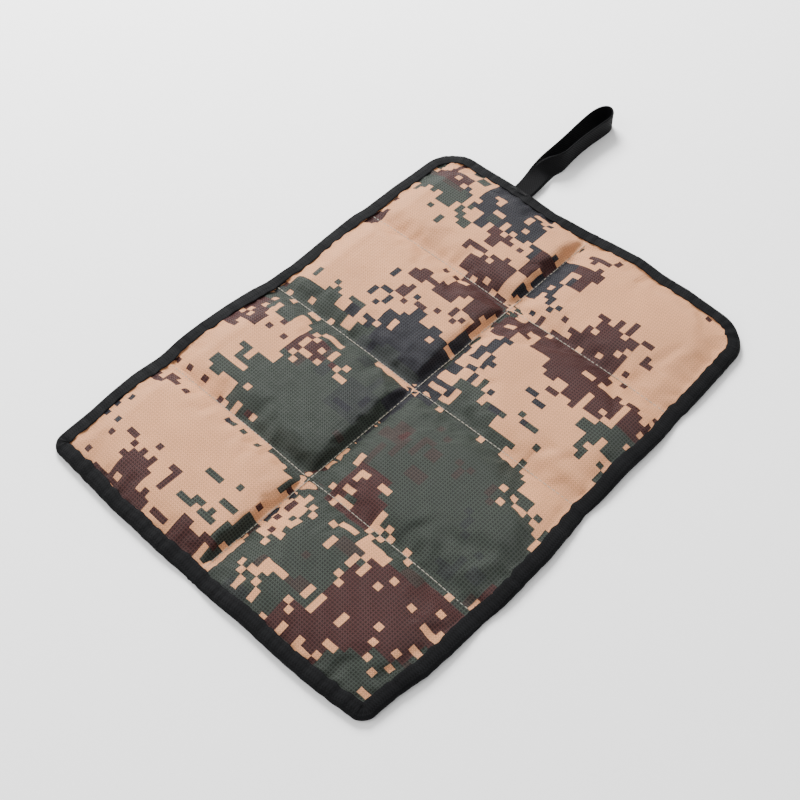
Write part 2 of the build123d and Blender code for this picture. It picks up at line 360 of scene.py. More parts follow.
def edge_height(x, y):
    """Height of the binding's top, lower where a seam runs into the edge."""
    along_side = np.minimum(seam_distance(y), HALF_LENGTH - np.abs(y) + 14 * MM)
    along_end = np.minimum(np.abs(x), HALF_WIDTH - np.abs(x) + 14 * MM)
    on_side = (HALF_WIDTH - np.abs(x)) < (HALF_LENGTH - np.abs(y))
    free = np.where(on_side, along_side, along_end)
    low = 3.2 * MM
    return low + (sizes().tape_height - low) * bump(free, 20 * MM)


def top_height(x, y):
    """Height of the quilted top cover before its cloth is relaxed."""
    s = sizes()
    left = x < 0
    tape_inner = np.minimum(HALF_WIDTH - np.abs(x), HALF_LENGTH - np.abs(y)) - (s.tape_width - 2 * MM)
    inside = np.maximum(tape_inner, 0)
    across = bump(np.abs(x), np.where(left, 4.6 * MM, 15 * MM))
    along = bump(seam_distance(y), np.where(left, 9 * MM, 10.5 * MM))
    border = bump(inside, 11 * MM)
    right_rise = 0.84 + 0.16 * np.clip(x / HALF_WIDTH, 0, 1)
    crown = np.where(left, s.left_height, s.right_height * right_rise)
    crown = crown - 0.5 * MM * (1 + wander(x, y, 45 * MM, 3.0))
    run = np.abs(x) / HALF_WIDTH
    seam = 2.0 * MM + 1.8 * MM * np.sin(math.pi * np.clip(run, 0, 1)) * bump(np.abs(x), 12 * MM)
    rim = edge_height(x, y) - 0.9 * MM
    base = seam + (rim - seam) * np.exp(-((inside / (9 * MM)) ** 2))
    return base + (crown - base) * across * along * border


def gathers(x, y):
    """Small folds in the top cover: puckers along each seam and pulls running out of the crossings."""
    seam = seam_distance(y)
    spine = np.abs(x)
    puckers = wander(x, y / 5, 4.5 * MM, 11.0) * np.exp(-((seam - 4 * MM) / (6 * MM)) ** 2)
    spine_puckers = wander(x / 5, y, 5 * MM, 12.0) * np.exp(-((spine - 5 * MM) / (7 * MM)) ** 2)
    side = HALF_WIDTH - sizes().tape_width - np.abs(x)
    end = HALF_LENGTH - sizes().tape_width - np.abs(y)
    edge = np.minimum(side, end)
    along_edge = np.where(side < end, y, x)
    edge_puckers = wander(along_edge, edge / 6, 6 * MM, 13.0) * np.exp(-((edge - 4 * MM) / (6 * MM)) ** 2)
    reach = np.hypot(spine, seam)
    heading = np.arctan2(seam, spine)
    pulls = wander(heading * 12 * MM, reach / 9, 2.0 * MM, 14.0)
    pulls = pulls * bump(reach, 7 * MM) * np.exp(-((reach / (34 * MM)) ** 2))
    return MM * (0.45 * puckers + 0.40 * spine_puckers + 0.60 * edge_puckers + 0.80 * pulls)


def bottom_height(x, y):
    """Height of the underside, nearly flat, drawn up a little at the seams and under the binding."""
    s = sizes()
    inside = np.maximum(
        np.minimum(HALF_WIDTH - np.abs(x), HALF_LENGTH - np.abs(y)) - s.tape_width, 0)
    groove = np.maximum(1 - bump(np.abs(x), 5 * MM), 1 - bump(seam_distance(y), 6 * MM))
    rim = np.exp(-((inside / (3 * MM)) ** 2))
    quilting = 0.25 * MM * (1 + wander(x, y, 12 * MM, 8.0))
    return 0.12 * MM + 1.1 * MM * np.maximum(groove, rim) + quilting * (1 - np.maximum(groove, rim))


# How far each edge strays outwards, in millimetres at places along it.
LEFT_STRAY = ((-195, -3), (-160, -1), (-120, 3), (-60, 4.5), (-15, 2.5), (20, -1.5), (50, 0), (90, 3),
              (120, 1), (195, 0))
RIGHT_STRAY = ((-195, -4), (-165, -2), (-145, 2), (-80, 5), (-40, 5), (0, 2), (90, 2), (150, 0), (195, -2))
FRONT_STRAY = ((-142, -2), (-100, 0.5), (-50, 1.5), (0, 1.5), (40, 0), (95, -1), (120, -3), (142, -5))
REAR_STRAY = ((-142, 0), (-60, -1), (-34, -3), (0, 2), (40, 3), (60, 1.2), (82, 1.2), (105, -1), (142, -4))


def stray(x, y):
    """Points moved with the mat's edges, which are not quite straight."""
    left, right, front, rear = (np.array(side, float).T * MM for side in
                                (LEFT_STRAY, RIGHT_STRAY, FRONT_STRAY, REAR_STRAY))
    side = np.where(x < 0, -np.interp(y, *left), np.interp(y, *right))
    end = np.where(y < 0, -np.interp(x, *front), np.interp(x, *rear))
    near_side = np.exp(-(((HALF_WIDTH - np.abs(x)) / (32 * MM)) ** 2))
    near_end = np.exp(-(((HALF_LENGTH - np.abs(y)) / (32 * MM)) ** 2))
    return x + side * near_side, y + end * near_end


def under_tape(x, y):
    """The covers' border drawn in so that it stays inside the binding."""
    band, keep = 11 * MM, 6 * MM
    for_x = np.maximum(np.abs(x) - (HALF_WIDTH - band), 0)
    for_y = np.maximum(np.abs(y) - (HALF_LENGTH - band), 0)
    x = x - np.sign(x) * for_x * (1 - keep / band)
    y = y - np.sign(y) * for_y * (1 - keep / band)
    return in_outline(x, y, 5 * MM)


def in_outline(x, y, inset):
    """Points drawn in, where a corner is round, to that outline less an inset."""
    radius = np.where(y > 0, 26 * MM, 9 * MM)
    corner_x = HALF_WIDTH - radius
    corner_y = HALF_LENGTH - radius
    over_x = np.maximum(np.abs(x) - corner_x, 0)
    over_y = np.maximum(np.abs(y) - corner_y, 0)
    reach = np.hypot(over_x, over_y)
    allowed = radius - inset
    keep = np.where(reach > allowed, allowed / np.maximum(reach, 1e-9), 1)
    x = np.sign(x) * np.where(over_x > 0, corner_x + over_x * keep, np.abs(x))
    y = np.sign(y) * np.where(over_y > 0, corner_y + over_y * keep, np.abs(y))
    return x, y


def even_lines(edges, count, profile):
    """Grid lines between the edges, evenly spaced along the cloth as it rises and falls."""
    lines = [np.array([edges[0]])]
    for low, high in zip(edges, edges[1:]):
        fine = np.linspace(low, high, 600)
        lengths = np.concatenate([[0], np.cumsum(np.hypot(np.diff(fine), np.diff(profile(fine))))])
        lines.append(np.interp(np.linspace(0, lengths[-1], count + 1)[1:], lengths, fine))
    return np.concatenate(lines)


def grid():
    """The covers' lines over the mat as two arrays, rows from the front and columns from the left."""
    mid_cell = (SEAMS[1] + SEAMS[2]) / 2
    x = even_lines((-HALF_WIDTH, 0, HALF_WIDTH), SEAM_COLUMN,
                   lambda at: top_height(at, np.full_like(at, mid_cell)))
    y = even_lines((-HALF_LENGTH, *SEAMS, HALF_LENGTH), SEAM_ROWS[0],
                   lambda at: top_height(np.full_like(at, -HALF_WIDTH / 2), at))
    return np.meshgrid(x, y)


def flat_grid():
    """The same lines on the cloth laid flat."""
    x = np.linspace(-HALF_WIDTH, HALF_WIDTH, COLUMNS + 1)
    y = np.linspace(-HALF_LENGTH, HALF_LENGTH, ROWS + 1)
    across, along = np.meshgrid(x, y)
    return np.stack([across, along, np.zeros_like(across)], axis=-1)


# ---------------------------------------------------------------- the print

def print_blocks():
    """The print's colour number for each block, rows from the front."""
    across, along = COLUMNS // 2, ROWS // 2
    layout = np.full((along, across), TAN)
    pitch_x, pitch_y = 2 * STEP_X / MM, 2 * STEP_Y / MM
    for colour, *blocks in PRINT:
        for left, right, lower, upper in blocks:
            first = round((left + HALF_WIDTH / MM) / pitch_x)
            last = max(first + 1, round((right + HALF_WIDTH / MM) / pitch_x))
            bottom = round((lower + HALF_LENGTH / MM) / pitch_y)
            top = max(bottom + 1, round((upper + HALF_LENGTH / MM) / pitch_y))
            layout[max(bottom, 0):top, max(first, 0):last] = colour
    return layout


def print_colours():
    """The colour of each grid face, rows from the front."""
    c = colours()
    tan, brown, green, navy = (np.array(value) for value in (c.tan, c.brown, c.green, c.navy))
    faded_brown = 0.55 * green + 0.45 * brown
    faded_navy = 0.55 * green + 0.45 * navy
    palette = np.array([tan, brown, green, navy, faded_brown, faded_navy])
    along, across = ROWS // 2, COLUMNS // 2
    behind = np.minimum(np.arange(along) + PRINT_SHIFT, along - 1)
    beside = np.maximum(np.arange(across) - PRINT_SHIFT, 0)
    blocks = palette[print_blocks()[behind][:, beside]]
    return np.repeat(np.repeat(blocks, 2, axis=0), 2, axis=1)


# ---------------------------------------------------------------- mesh helpers

def make_object(name, points, faces, material, smooth_angle=50):
    """An object of these points and faces, smooth up to an angle."""
    mesh = bpy.data.meshes.new(name)
    mesh.from_pydata([tuple(p) for p in points], [], faces)
    mesh.validate()
    mesh.materials.append(material)
    made = bpy.data.objects.new(name, mesh)
    bpy.context.scene.collection.objects.link(made)
    mesh.shade_smooth()
    mesh.set_sharp_from_angle(angle=math.radians(smooth_angle))
    return made


def set_plan(made, plan):
    """Keeps each point's place on the flat cloth, which its weave and wear follow."""
    attribute = made.data.attributes.new("plan", "FLOAT_VECTOR", "POINT")
    attribute.data.foreach_set("vector", np.asarray(plan, np.float32).ravel())


def set_print(made, face_colours):
    """Gives each face its colour of the print."""
    attribute = made.data.color_attributes.new("print", "FLOAT_COLOR", "CORNER")
    corners = np.repeat(face_colours, 4, axis=0)
    rgba = np.concatenate([corners, np.ones((len(corners), 1))], axis=1)
    attribute.data.foreach_set("color", rgba.astype(np.float32).ravel())


def grid_normals(points):
    """Unit normals of a grid of points."""
    along = np.gradient(points, axis=0)
    across = np.gradient(points, axis=1)
    normals = np.cross(across, along)
    return normals / np.maximum(np.linalg.norm(normals, axis=2, keepdims=True), 1e-12)


def cloth_piece(name, outer, inner, plan, face_colours, material):
    """A closed sheet between two grids of points."""
    rows, columns = outer.shape[:2]
    count = rows * columns
    number = np.arange(count).reshape(rows, columns)
    a, b = number[:-1, :-1].ravel(), number[:-1, 1:].ravel()
    c, d = number[1:, 1:].ravel(), number[1:, :-1].ravel()
    faces = list(zip(a, b, c, d)) + list(zip(a + count, d + count, c + count, b + count))
    rim = [*number[0, :], *number[1:, -1], *number[-1, -2::-1], *number[-2:0:-1, 0]]
    rim_faces = [(rim[k - 1] + count, rim[k] + count, rim[k], rim[k - 1]) for k in range(len(rim))]
    flat = face_colours.reshape(-1, 3)
    corner_faces = face_colours[[0, -1]][:, [0, -1]].mean(axis=(0, 1))
    tints = np.concatenate([flat, flat, np.tile(corner_faces, (len(rim_faces), 1))])
    points = np.concatenate([outer.reshape(-1, 3), inner.reshape(-1, 3)])
    faces = [tuple(int(v) for v in f) for f in faces + rim_faces]
    made = make_object(name, points, faces, material)
    set_plan(made, np.concatenate([plan.reshape(-1, 3)] * 2))
    set_print(made, tints)
    return made


def swept_piece(name, rings, plans, material, smooth_angle=50, closed=False):
    """A closed solid through rings of points, with flat ends unless the rings close on themselves."""
    rings = np.asarray(rings)
    steps, around = rings.shape[:2]
    faces = []
    for step in range(steps if closed else steps - 1):
        near, far = step * around, (step + 1) % steps * around
        for k in range(around):
            after = (k + 1) % around
            faces.append((near + k, near + after, far + after, far + k))
    if not closed:
        faces.append(tuple(range(around))[::-1])
        faces.append(tuple((steps - 1) * around + k for k in range(around)))
    made = make_object(name, rings.reshape(-1, 3), faces, material, smooth_angle)
    set_plan(made, np.asarray(plans).reshape(-1, 3))
    return made


def smooth_line(points, rounds=3):
    """A line through given points with its corners rounded."""
    line = np.asarray(points, float)
    for _ in range(rounds):
        quarter = 0.75 * line[:-1] + 0.25 * line[1:]
        three = 0.25 * line[:-1] + 0.75 * line[1:]
        inner = np.stack([quarter, three], axis=1).reshape(-1, line.shape[1])
        line = np.concatenate([line[:1], inner, line[-1:]])
    return line


def follow_fold(piece):
    """The piece's transform baked into its mesh."""
    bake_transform(piece)


# ---------------------------------------------------------------- materials

class Nodes:
    """Short calls for a material's nodes."""

    def __init__(self, name):
        self.material = bpy.data.materials.new(name)
        self.material.use_nodes = True
        self.tree = self.material.node_tree
        self.shader = self.tree.nodes["Principled BSDF"]

    def link(self, value, socket):
        if isinstance(value, bpy.types.NodeSocket):
            self.tree.links.new(value, socket)
        else:
            socket.default_value = value

    def math(self, operation, first, second=0.0):
        node = self.tree.nodes.new("ShaderNodeMath")
        node.operation = operation
        self.link(first, node.inputs[0])
        self.link(second, node.inputs[1])
        return node.outputs[0]

    def plan(self):
        """X, Y and Z of the point's place on the flat cloth, and the place itself."""
        place = self.tree.nodes.new("ShaderNodeAttribute")
        place.attribute_name = "plan"
        parts = self.tree.nodes.new("ShaderNodeSeparateXYZ")
        self.tree.links.new(place.outputs["Vector"], parts.inputs[0])
        return *parts.outputs, place.outputs["Vector"]

    def noise(self, place, scale, detail=3.0):
        node = self.tree.nodes.new("ShaderNodeTexNoise")
        node.inputs["Scale"].default_value = scale
        node.inputs["Detail"].default_value = detail
        self.tree.links.new(place, node.inputs["Vector"])
        return node.outputs["Fac"]

    def spread(self, value, low, high):
        """A value from 0 to 1 as one from low to high."""
        return self.math("ADD", self.math("MULTIPLY", value, high - low), low)

    def tint(self, colour, shade):
        """A colour times a shade."""
        node = self.tree.nodes.new("ShaderNodeVectorMath")
        node.operation = "SCALE"
        self.link(colour, node.inputs[0])
        self.link(shade, node.inputs["Scale"])
        return node.outputs[0]

    def lift(self, colour, amount):
        """A colour with the same amount added to its red, green and blue."""
        joined = self.tree.nodes.new("ShaderNodeCombineXYZ")
        for socket in joined.inputs:
            self.tree.links.new(amount, socket)
        node = self.tree.nodes.new("ShaderNodeVectorMath")
        node.operation = "ADD"
        self.tree.links.new(colour, node.inputs[0])
        self.tree.links.new(joined.outputs[0], node.inputs[1])
        return node.outputs[0]

    def basket(self, across, along, pitch):
        """Height of a plain weave, and 1 where its warp is over its weft."""
        u = self.math("DIVIDE", across, pitch)
        v = self.math("DIVIDE", along, pitch)
        warp = self.math("ABSOLUTE", self.math("SINE", self.math("MULTIPLY", u, math.pi)))
        weft = self.math("ABSOLUTE", self.math("SINE", self.math("MULTIPLY", v, math.pi)))
        turn = self.math("ADD", self.math("FLOOR", u), self.math("FLOOR", v))
        over = self.math("FLOORED_MODULO", turn, 2.0)
        under = self.math("SUBTRACT", 1.0, over)
        height = self.math("ADD", self.math("MULTIPLY", warp, over), self.math("MULTIPLY", weft, under))
        return height, over

    def ridges(self, along, pitch):
        """Narrow ridges at an even pitch, 1 on each ridge's top."""
        turn = self.math("MULTIPLY", self.math("DIVIDE", along, pitch), math.pi)
        return self.math("POWER", self.math("ABSOLUTE", self.math("COSINE", turn)), 4.0)

    def raise_by(self, height, distance, strength=1.0):
        node = self.tree.nodes.new("ShaderNodeBump")
        node.inputs["Distance"].default_value = distance
        node.inputs["Strength"].default_value = strength
        self.tree.links.new(height, node.inputs["Height"])
        self.tree.links.new(node.outputs["Normal"], self.shader.inputs["Normal"])

    def finish(self, colour, roughness, **sockets):
        self.link(colour, self.shader.inputs["Base Color"])
        self.link(roughness, self.shader.inputs["Roughness"])
        for name, value in sockets.items():
            self.shader.inputs[name.replace("_", " ")].default_value = value
        return self.material


def camouflage_cloth():
    """Coated woven polyester with a block print, its sheen broken by the weave. The weave's shade and
    highlights are painted into its colour, with a painted sheen along its raised lines.
    """
    n = Nodes("camouflage_cloth")
    across, along, _, place = n.plan()
    printed = n.tree.nodes.new("ShaderNodeAttribute")
    printed.attribute_name = "print"
    weave, over = n.basket(across, along, sizes().weave)
    lines = n.math("MAXIMUM", n.ridges(across, sizes().ridge), n.ridges(along, sizes().ridge))
    slack = n.noise(place, 700.0, 2.0)
    patchy = n.noise(place, 26.0)
    # Painted shade of the weave: lighter on the yarns and darker in the gaps between them, and warp-over
    # cells lighter than weft-over ones as a painted sheen.
    grain_and_weave_shade = n.math("MULTIPLY", n.spread(weave, 0.70, 1.10), n.spread(over, 0.85, 1.10))
    # The raised lines are painted a little lighter, as a painted highlight.
    grain_and_weave_shade = n.math("MULTIPLY", grain_and_weave_shade, n.spread(lines, 0.90, 1.08))
    channels = n.tree.nodes.new("ShaderNodeSeparateXYZ")
    n.link(printed.outputs["Vector"], channels.inputs[0])
    # On dark print the raised lines are painted much lighter: a painted highlight along the ridges.
    dark = n.math("MAXIMUM", n.math("SUBTRACT", 1.0, n.math("MULTIPLY", channels.outputs[0], 1.6)), 0.0)
    painted_ridge_highlight = n.math("MULTIPLY", dark, n.spread(lines, -0.40, 0.80))
    grain_and_weave_shade = n.math("MULTIPLY", grain_and_weave_shade, n.math("ADD", painted_ridge_highlight, 1.0))
    crinkle = n.noise(place, 85.0, 4.0)
    shade = n.math("MULTIPLY", grain_and_weave_shade, n.spread(patchy, 0.80, 1.20))
    colour = n.tint(printed.outputs["Color"], n.math("MULTIPLY", shade, n.spread(slack, 0.86, 1.14)))
    # A painted sheen: the same light amount added to the colour along the raised lines.
    painted_sheen = n.math("MULTIPLY", n.math("MULTIPLY", lines, n.spread(slack, 0.5, 1.5)), 0.012)
    colour = n.lift(colour, painted_sheen)
    rough = n.math("ADD", n.spread(weave, 0.52, 0.40), n.spread(patchy, -0.06, 0.06))
    relief = n.math("ADD", weave, n.math("MULTIPLY", lines, 0.8))
    relief = n.math("ADD", relief, n.math("MULTIPLY", crinkle, 4.0))
    n.raise_by(relief, 0.25 * MM, 1.0)
    return n.finish(colour, rough, Specular_IOR_Level=0.15)


def binding_tape():
    """Black ribbed tape, greyer where it is rubbed."""
    n = Nodes("binding_tape")
    run, across, _, place = n.plan()
    weave, over = n.basket(run, across, 0.9 * MM)
    rubbed = n.noise(place, 60.0)
    fuzz = n.noise(place, 1400.0, 2.0)
    # The yarn tops are painted lighter and the gaps darker, and warp-over cells lighter, as painted shade and
    # sheen; the rubbed patches and fuzz are the tape's own uneven tone.
    shade = n.math("MULTIPLY", n.spread(weave, 0.5, 1.5), n.spread(rubbed, 0.6, 1.8))
    shade = n.math("MULTIPLY", shade, n.math("MULTIPLY", n.spread(fuzz, 0.7, 1.3), n.spread(over, 0.8, 1.2)))
    n.raise_by(weave, 0.18 * MM, 0.9)
    return n.finish(n.tint((*colours().tape,), shade), n.spread(rubbed, 0.78, 0.62),
                    Specular_IOR_Level=0.06)


def strap_webbing():
    """Black webbing with fine ribs along it."""
    n = Nodes("strap_webbing")
    run, across, _, place = n.plan()
    ribs, over = n.basket(across, run, 1.1 * MM)
    rubbed = n.noise(place, 45.0)
    fuzz = n.noise(place, 1200.0, 2.0)
    # The rib tops are painted lighter and the grooves darker, and over cells lighter, as painted shade and
    # sheen; the rubbed patches and fuzz are the webbing's own uneven tone.
    shade = n.math("MULTIPLY", n.spread(ribs, 0.5, 1.5), n.spread(rubbed, 0.7, 1.6))
    shade = n.math("MULTIPLY", shade, n.math("MULTIPLY", n.spread(fuzz, 0.7, 1.3), n.spread(over, 0.8, 1.2)))
    n.raise_by(ribs, 0.22 * MM, 0.9)
    return n.finish(n.tint((*colours().webbing,), shade), n.spread(rubbed, 0.8, 0.6),
                    Specular_IOR_Level=0.07)


def sewing_thread(name, colour):
    """Twisted thread, its plies running round it."""
    n = Nodes(name)
    run, around, _, place = n.plan()
    twist = n.math("ADD", n.math("MULTIPLY", run, 2.2 / MM), n.math("MULTIPLY", around, 1.0))
    ply = n.math("ABSOLUTE", n.math("SINE", twist))
    # The plies are painted lighter on their crowns and darker in the grooves between them, as painted shade.
    shade = n.math("MULTIPLY", n.spread(ply, 0.65, 1.1), n.spread(n.noise(place, 300.0), 0.85, 1.1))
    n.raise_by(ply, 0.05 * MM, 0.6)
    return n.finish(n.tint(tuple(colour), shade), 0.62, Specular_IOR_Level=0.3)


def pad_foam():
    """Closed-cell foam with fine pores."""
    n = Nodes("pad_foam")
    _, _, _, place = n.plan()
    pores = n.tree.nodes.new("ShaderNodeTexVoronoi")
    pores.inputs["Scale"].default_value = 700.0
    n.tree.links.new(place, pores.inputs["Vector"])
    shade = n.spread(pores.outputs["Distance"], 1.05, 0.8)
    n.raise_by(pores.outputs["Distance"], 0.15 * MM, 0.5)
    return n.finish(n.tint(tuple(colours().foam), shade), n.spread(n.noise(place, 80.0), 0.75, 0.9))


# ---------------------------------------------------------------- covers

def relax_cloth(x, y, height):
    """The top cover's heights and places after its cloth, cut a little large, settles on the pads."""
    rows, columns = x.shape
    number = np.arange(rows * columns).reshape(rows, columns)
    faces = np.stack([number[:-1, :-1], number[:-1, 1:], number[1:, 1:], number[1:, :-1]], axis=-1)
    start = height + 0.35 * MM * wander(x, y, 9 * MM, 5.0)
    points = np.stack([x, y, start], axis=-1).reshape(-1, 3)
    mesh = bpy.data.meshes.new("cover_cloth")
    mesh.from_pydata(points.tolist(), [], faces.reshape(-1, 4).tolist())
    cloth = bpy.data.objects.new("cover_cloth", mesh)
    bpy.context.scene.collection.objects.link(cloth)

    inside = np.minimum(HALF_WIDTH - np.abs(x), HALF_LENGTH - np.abs(y))
    sewn = inside < sizes().tape_width - 1 * MM
    sewn[SEAM_ROWS, :] = True
    sewn[:, SEAM_COLUMN] = True
    group = cloth.vertex_groups.new(name="sewn")
    group.add(number[sewn].tolist(), 1.0, "REPLACE")

    modifier = cloth.modifiers.new("cloth", "CLOTH")
    settings = modifier.settings
    settings.quality = 5
    settings.mass = 0.05
    settings.tension_stiffness = settings.compression_stiffness = 12
    settings.shear_stiffness = 4
    settings.bending_stiffness = 0.02
    settings.vertex_group_mass = "sewn"
    settings.shrink_min = -0.025
    settings.use_pressure = True
    settings.uniform_pressure_force = 1.2
    settings.effector_weights.gravity = 0
    modifier.collision_settings.use_collision = False
    modifier.collision_settings.use_self_collision = False
    scene = bpy.context.scene
    for step in range(1, 19):
        scene.frame_set(step)
    settled = cloth.evaluated_get(bpy.context.evaluated_depsgraph_get()).to_mesh()
    moved = np.empty(len(settled.vertices) * 3, np.float32)
    settled.vertices.foreach_get("co", moved)
    cloth.evaluated_get(bpy.context.evaluated_depsgraph_get()).to_mesh_clear()
    bpy.data.objects.remove(cloth)
    scene.frame_set(1)
    shift = moved.reshape(rows, columns, 3).astype(float) - np.stack([x, y, height], axis=-1)
    return shift


def settled_top():
    """The top cover's points over the grid."""
    x, y = grid()
    height = top_height(x, y)
    points = np.stack([x, y, height], axis=-1)
    shift = relax_cloth(x, y, height)
    limit = 1.3 * MM
    shift[..., 2] -= 0.5 * limit * bump(np.maximum(height - 4 * MM, 0), 4 * MM)
    points = points + limit * np.tanh(shift / limit)
    points[..., 2] += gathers(x, y)
    points[..., 2] = np.minimum(points[..., 2], TOP_LIMIT)
    points[..., 0], points[..., 1] = stray(*under_tape(points[..., 0], points[..., 1]))
    return points


def wrap_spine(points, plan, side):
    """A cover's edge carried round the lengthwise fold's axis, so no gap opens when it folds."""
    spine = points[:, -1 if side < 0 else 0]
    flat = plan[:, -1 if side < 0 else 0]
    rise = spine[:, 2] - SPINE_AXIS_Z
    extra, extra_plan = [], []
    for angle in (22, 44, 66, 86):
        turn = math.radians(angle)
        column = spine.copy()
        column[:, 0] = -side * rise * math.sin(turn)
        column[:, 2] = np.maximum(SPINE_AXIS_Z + rise * math.cos(turn), 0.05 * MM)
        place = flat.copy()
        place[:, 0] -= side * turn * 2.3 * MM
        extra.append(column[:, None])
        extra_plan.append(place[:, None])
    if side < 0:
        return np.concatenate([points, *extra], axis=1), np.concatenate([plan, *extra_plan], axis=1)
    turned, turned_plan = extra[::-1], extra_plan[::-1]
    return np.concatenate([*turned, points], axis=1), np.concatenate([*turned_plan, plan], axis=1)


class SITMAT_OT_covers(bpy.types.Operator):
    """Make the quilted top covers and the underside, one length of cloth for each cross seam"""

    bl_idname = "sit_mat.covers"
    bl_label = "Covers"

    def execute(self, context):
        material = camouflage_cloth()
        face_colours = print_colours()
        plan = flat_grid()
        top = settled_top()
        flat_x, flat_y = under_tape(plan[..., 0], plan[..., 1])
        strayed_x, strayed_y = stray(flat_x, flat_y)
        under = np.stack([strayed_x, strayed_y, bottom_height(flat_x, flat_y)], axis=-1)
        middle = COLUMNS // 2
        for column in ("left", "right"):
            span = slice(0, middle + 1) if column == "left" else slice(middle, None)
            tints = face_colours[:, :middle] if column == "left" else face_colours[:, middle:]
            turned = face_colours[::-1, ::-1]
            under_tints = turned[:, :middle] if column == "left" else turned[:, middle:]
            for stretch, low, high in zip(STRETCHES, CUTS, CUTS[1:]):
                part = slice(low, high + 1)
                flat = plan[part, span]
                self.top_cover(column, stretch, top[part, span], flat, tints[low:high], material)
                self.underside(column, stretch, under[part, span], flat, under_tints[low:high], material)
        return {"FINISHED"}

    def top_cover(self, column, stretch, points, plan, shades, material):
        side = -1 if column == "left" else 1
        points, plan = wrap_spine(points, plan, side)
        edge = np.repeat(shades[:, -1:] if side < 0 else shades[:, :1], 4, axis=1)
        shades = np.concatenate([shades, edge] if side < 0 else [edge, shades], axis=1)
        inner = points - grid_normals(points) * sizes().cloth
        inner[..., 2] = np.maximum(inner[..., 2], 0.02 * MM)
        made = cloth_piece(f"top_cover_{column}_{stretch[0]}", points, inner, plan, shades, material)
        self.place(made, column, stretch, "top_cover", points)

    def underside(self, column, stretch, points, plan, shades, material):
        upper = points + np.array([0, 0, sizes().cloth])
        plan = plan + np.array([0.0333, 0.0222, 0])
        made = cloth_piece(f"underside_{column}_{stretch[0]}", upper, points, plan, shades, material)
        self.place(made, column, stretch, "bottom_cover", points)

    def place(self, made, column, stretch, node, points):
        follow_fold(made)
        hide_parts(*[f"{node}_{column}_{row}" for row in stretch[5]])


class SITMAT_OT_foam_pads(bpy.types.Operator):
    """Make the foam pad inside each cell"""

    bl_idname = "sit_mat.foam_pads"
    bl_label = "Foam pads"

    def execute(self, context):
        material = pad_foam()
        for column in ("left", "right"):
            for row in range(1, 5):
                self.pad(column, row, material)
        return {"FINISHED"}

    def pad(self, column, row, material):
        low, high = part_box(f"foam_pad_{column}_{row}")
        across, along = 26, 20
        u, v = np.meshgrid(np.linspace(-1, 1, across), np.linspace(-1, 1, along))
        u, v = np.sin(u * math.pi / 2), np.sin(v * math.pi / 2)
        slack = 3 * MM
        half_x, half_y = (high[0] - low[0]) / 2 - slack, (high[1] - low[1]) / 2 - slack
        x = (low[0] + high[0]) / 2 + u * half_x
        y = (low[1] + high[1]) / 2 + v * half_y
        x, y = in_outline(x, y, sizes().tape_width + 3 * MM)
        bottom = np.full(x.shape, 1.25 * MM)
        room = top_height(x, y) - sizes().cloth - 2.2 * MM
        top = np.maximum(room, bottom + 0.25 * MM)
        outer = np.stack([x, y, top], axis=-1)
        inner = np.stack([x, y, bottom], axis=-1)
        shades = np.ones((along - 1, across - 1, 3))
        name = f"pad_{column}_{row}"
        made = cloth_piece(name, outer, inner, outer, shades, material)
        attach(made, f"{column}_{row}")
        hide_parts(f"foam_pad_{column}_{row}")


# ---------------------------------------------------------------- binding

def edge_route(spacing):
    """Points along the mat's outline, counter-clockwise from the middle of the front edge."""
    ring = []
    for sign_x, sign_y, radius, start in ((1, -1, 9 * MM, -90), (1, 1, 26 * MM, 0),
                                          (-1, 1, 26 * MM, 90), (-1, -1, 9 * MM, 180)):
        centre = np.array([sign_x * (HALF_WIDTH - radius), sign_y * (HALF_LENGTH - radius)])
        for angle in np.linspace(start, start + 90, 24):
            turn = math.radians(angle)
            ring.append(centre + radius * np.array([math.cos(turn), math.sin(turn)]))
    ring = [np.array([0, -HALF_LENGTH]), *ring, np.array([0, -HALF_LENGTH])]
    ring = np.array(ring)
    lengths = np.concatenate([[0], np.cumsum(np.linalg.norm(np.diff(ring, axis=0), axis=1))])
    count = int(round(lengths[-1] / spacing))
    stations = np.linspace(0, lengths[-1], count + 1)
    x = np.interp(stations, lengths, ring[:, 0])
    y = np.interp(stations, lengths, ring[:, 1])
    cut = (SEAMS[1] + SEAMS[2]) / 2
    for level in (-cut, cut):
        for on_side in (x > 0, x < 0):
            y[np.argmin(np.where(on_side, np.abs(y - level), 1))] = level
    x[np.argmin(np.where(y > 0, np.abs(x), 1))] = 0
    x[0] = x[-1] = 0
    return stations, np.stack([x, y], axis=1)


def outward(line):
    """Unit outward normals of a closed counter-clockwise line."""
    tangent = np.gradient(line, axis=0)
    tangent[0] = tangent[-1] = line[1] - line[-2]
    tangent /= np.linalg.norm(tangent, axis=1, keepdims=True)
    return np.stack([tangent[:, 1], -tangent[:, 0]], axis=1)


# How far the tape's outside rises in a crease, from its inner lip to the mat's edge.
TAPE_CREASE = np.array([0.2, 0.5, 1.0, 0.8, 0.3])


def tape_section(height, width, thick):
    """The folded tape's section as (inward, up): over the top, round the edge and back inside."""
    reach = height / 2
    outer, inner = [(width, height + 0.25 * MM), (width * 0.72, height + 0.55 * MM)], []
    for angle in range(90, -91, -30):
        turn = math.radians(angle)
        outer.append((reach - reach * math.cos(turn), reach + reach * math.sin(turn)))
    outer += [(width * 0.6, 0.0), (width * 0.98, 0.0)]
    small = reach - thick
    inner += [(width * 0.98, thick), (width * 0.6, thick)]
    for angle in range(-90, 91, 30):
        turn = math.radians(angle)
        inner.append((reach - small * math.cos(turn), reach + small * math.sin(turn)))
    inner += [(width * 0.72, height + 0.55 * MM - thick), (width, height + 0.25 * MM - thick)]
    return np.array(outer + inner)


